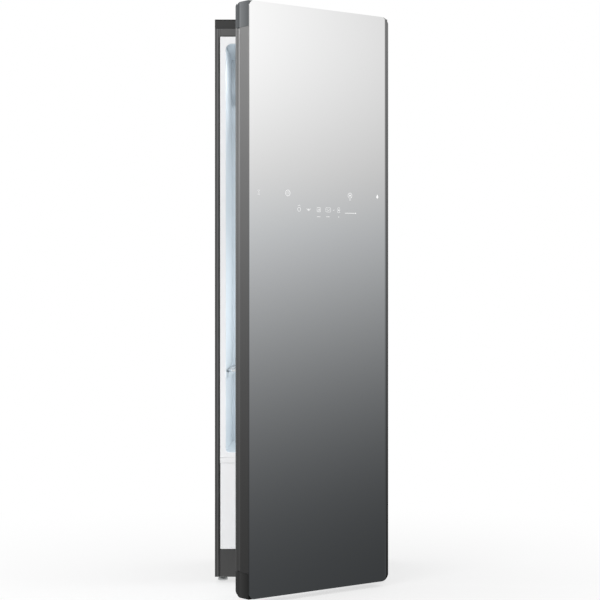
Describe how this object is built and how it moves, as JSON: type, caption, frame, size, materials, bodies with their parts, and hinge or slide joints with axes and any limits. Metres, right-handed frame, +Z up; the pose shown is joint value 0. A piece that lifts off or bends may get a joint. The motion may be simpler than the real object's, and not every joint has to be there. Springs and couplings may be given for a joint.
{
  "type": "clothes care steam cabinet",
  "caption": "Tall clothes care steam cabinet with a mirror-glass door ajar, white steam cavity with moving hanger bar, shelf and trouser press, pull-out water tanks and a heat-pump base.",
  "frame": {"origin": "middle of the footprint at floor level, the door standing ajar as in the picture", "axes": "+Z up, the cabinet's front faces -Y, +X to the viewer's right"},
  "size_m": [0.6008, 0.964, 1.96],
  "materials": {
    "dark_steel": "satin",
    "stile_grey": "satin",
    "rail_dark": "satin",
    "white_liner": "satin",
    "white_trim": "satin",
    "foam": "matte",
    "mirror_glass": "polished",
    "door_side": "satin",
    "door_cap": "satin",
    "seal_rubber": "matte",
    "bright_steel": "satin",
    "foot_chrome": "gloss",
    "black_plastic": "matte",
    "press_pad": "matte",
    "hanger_white": "satin",
    "lamp_lens": "gloss",
    "tank_plastic": "satin",
    "tank_lid": "satin",
    "board": "satin",
    "exchanger": "satin",
    "machine_black": "satin"
  },
  "bodies": {
    "cabinet": {"side_panel_left": "dark_steel", "side_panel_right": "dark_steel", "top_panel": "dark_steel", "back_panel": "dark_steel", "base_pan": "dark_steel", "stile_left": "stile_grey", "stile_right": "stile_grey", "top_rail": "rail_dark", "header_rail": "stile_grey", "plinth": "rail_dark", "liner_left": "white_liner", "liner_right": "white_liner", "liner_back": "white_liner", "liner_ceiling": "white_liner", "liner_floor": "white_liner", "front_flange": "white_liner", "service_header": "white_trim", "cabinet_insulation": "foam", "cavity_light": "lamp_lens", "steam_outlet": "black_plastic", "return_grille": "white_trim", "drive_motor": "machine_black", "service_cover": "white_trim", "tank_bay": "dark_steel", "compressor": "machine_black", "condenser": "exchanger", "evaporator": "exchanger", "blower_housing": "black_plastic", "steam_generator": "bright_steel", "control_box": "black_plastic", "power_inlet": "black_plastic", "hinge_bracket_upper": "bright_steel", "hinge_bracket_lower": "bright_steel"},
    "door": {"door_glass": "mirror_glass", "door_grip_rail": "door_side", "door_cap_top": "door_cap", "door_cap_bottom": "door_cap", "door_hinge_post": "door_side", "door_insulation": "foam", "door_liner": "white_liner", "door_gasket": "seal_rubber", "touch_board": "board", "press_base": "press_pad"},
    "press_cover": {"press_cover": "white_trim"},
    "crank": {"crank_disc": "bright_steel"},
    "hanger_bar": {"hanger_bar": "bright_steel"},
    "hanger_1": {"hanger_1": "hanger_white"},
    "hanger_2": {"hanger_2": "hanger_white"},
    "shelf": {"shelf": "bright_steel"},
    "supply_tank": {"supply_tank": "tank_plastic"},
    "supply_lid": {"supply_tank_lid": "tank_lid"},
    "drain_tank": {"drain_tank": "tank_plastic"},
    "drain_lid": {"drain_tank_lid": "tank_lid"},
    "lint_filter": {"lint_filter": "black_plastic"},
    "aroma_cartridge": {"aroma_cartridge": "white_trim"},
    "blower_wheel": {"impeller": "black_plastic"},
    "foot_front_left": {"foot_front_left": "foot_chrome"},
    "foot_front_right": {"foot_front_right": "foot_chrome"},
    "foot_back_left": {"foot_back_left": "foot_chrome"},
    "foot_back_right": {"foot_back_right": "foot_chrome"}
  },
  "joints": [
    {"name": "door_hinge", "type": "hinge", "parent": "cabinet", "child": "door", "pos_m": [0.28614, -0.10551, 0.98], "axis": [0, 0, 1], "range_deg": [-38.9, 81.1]},
    {"name": "press_cover_hinge", "type": "hinge", "parent": "door", "child": "press_cover", "pos_m": [-0.11368, -0.33696, 1.1], "axis": [0, 0, 1], "range_deg": [0, 95]},
    {"name": "hanger_bar_slide", "type": "slide", "parent": "cabinet", "child": "hanger_bar", "axis": [1, 0, 0], "range_m": [-0.012, 0.012]},
    {"name": "crank_turn", "type": "hinge", "parent": "cabinet", "child": "crank", "pos_m": [-0.00036, 0.19699, 1.89], "axis": [0, 0, 1], "range_deg": [-53.2, 53.2]},
    {"name": "hanger_1_swing", "type": "hinge", "parent": "hanger_bar", "child": "hanger_1", "pos_m": [-0.13036, 0.19699, 1.8], "axis": [1, 0, 0], "range_deg": [-8, 8]},
    {"name": "hanger_2_swing", "type": "hinge", "parent": "hanger_bar", "child": "hanger_2", "pos_m": [0.03964, 0.19699, 1.8], "axis": [1, 0, 0], "range_deg": [-8, 8]},
    {"name": "shelf_lift", "type": "slide", "parent": "cabinet", "child": "shelf", "axis": [0, 0, 1], "range_m": [0, 0.05]},
    {"name": "supply_tank_slide", "type": "slide", "parent": "cabinet", "child": "supply_tank", "axis": [0, -1, 0], "range_m": [0, 0.17]},
    {"name": "supply_lid_lift", "type": "slide", "parent": "supply_tank", "child": "supply_lid", "axis": [0, 0, 1], "range_m": [0, 0.03]},
    {"name": "drain_tank_slide", "type": "slide", "parent": "cabinet", "child": "drain_tank", "axis": [0, -1, 0], "range_m": [0, 0.17]},
    {"name": "drain_lid_lift", "type": "slide", "parent": "drain_tank", "child": "drain_lid", "axis": [0, 0, 1], "range_m": [0, 0.03]},
    {"name": "lint_filter_lift", "type": "slide", "parent": "cabinet", "child": "lint_filter", "axis": [0, 0, 1], "range_m": [0, 0.07]},
    {"name": "aroma_cartridge_lift", "type": "slide", "parent": "cabinet", "child": "aroma_cartridge", "axis": [0, 0, 1], "range_m": [0, 0.055]},
    {"name": "blower_spin", "type": "hinge", "parent": "cabinet", "child": "blower_wheel", "pos_m": [0.14964, 0.03199, 0.3], "axis": [0, 1, 0], "continuous": true},
    {"name": "foot_front_left_screw", "type": "slide", "parent": "cabinet", "child": "foot_front_left", "axis": [0, 0, -1], "range_m": [0, 0.012]},
    {"name": "foot_front_right_screw", "type": "slide", "parent": "cabinet", "child": "foot_front_right", "axis": [0, 0, -1], "range_m": [0, 0.012]},
    {"name": "foot_back_left_screw", "type": "slide", "parent": "cabinet", "child": "foot_back_left", "axis": [0, 0, -1], "range_m": [0, 0.012]},
    {"name": "foot_back_right_screw", "type": "slide", "parent": "cabinet", "child": "foot_back_right", "axis": [0, 0, -1], "range_m": [0, 0.012]}
  ],
  "couplings": [
    {"joint": "crank_turn", "follows": "hanger_bar_slide", "rad_per_m": 77.27}
  ]
}
